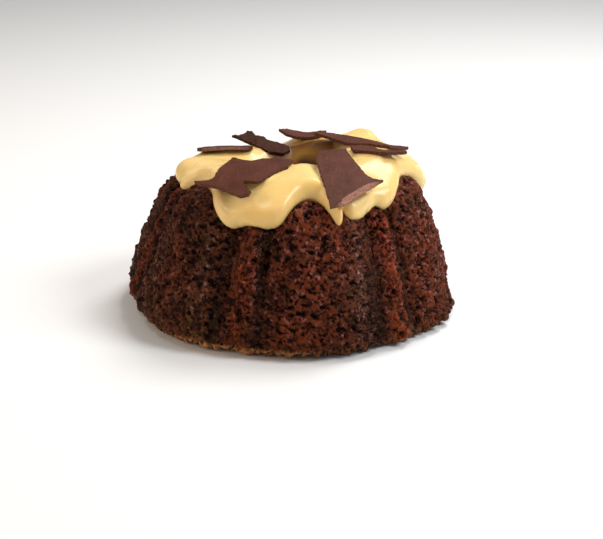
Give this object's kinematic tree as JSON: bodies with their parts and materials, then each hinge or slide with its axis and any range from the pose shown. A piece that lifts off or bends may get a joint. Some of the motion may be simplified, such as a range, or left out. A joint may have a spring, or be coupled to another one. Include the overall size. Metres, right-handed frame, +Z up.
{
  "type": "bundt cake",
  "caption": "Small round fluted chocolate bundt cake with a centre hole, poured caramel icing running down over the flutes, and broken pieces of chocolate on top.",
  "frame": {"origin": "the middle of the cake's underside: the centre of the foot of its ring and of its hole, on the surface it stands on", "axes": "Z points up through the hole, which is the ring's own axis. -Y points to the front, the side that the picture shows, where the long icing run comes down. +X is to the right as seen from the front."},
  "size_m": [0.0978, 0.0974, 0.052],
  "materials": {
    "sponge": "matt open crumb, dark chocolate brown",
    "icing": "smooth glossy pale caramel icing",
    "chocolate": "satin chocolate with lighter broken edges"
  },
  "bodies": {
    "root": {"sponge": "sponge", "icing": "icing", "shard_a": "chocolate", "shard_b": "chocolate", "shard_c": "chocolate", "shard_d": "chocolate", "shard_e": "chocolate", "shard_f": "chocolate", "shard_g": "chocolate"}
  },
  "joints": []
}
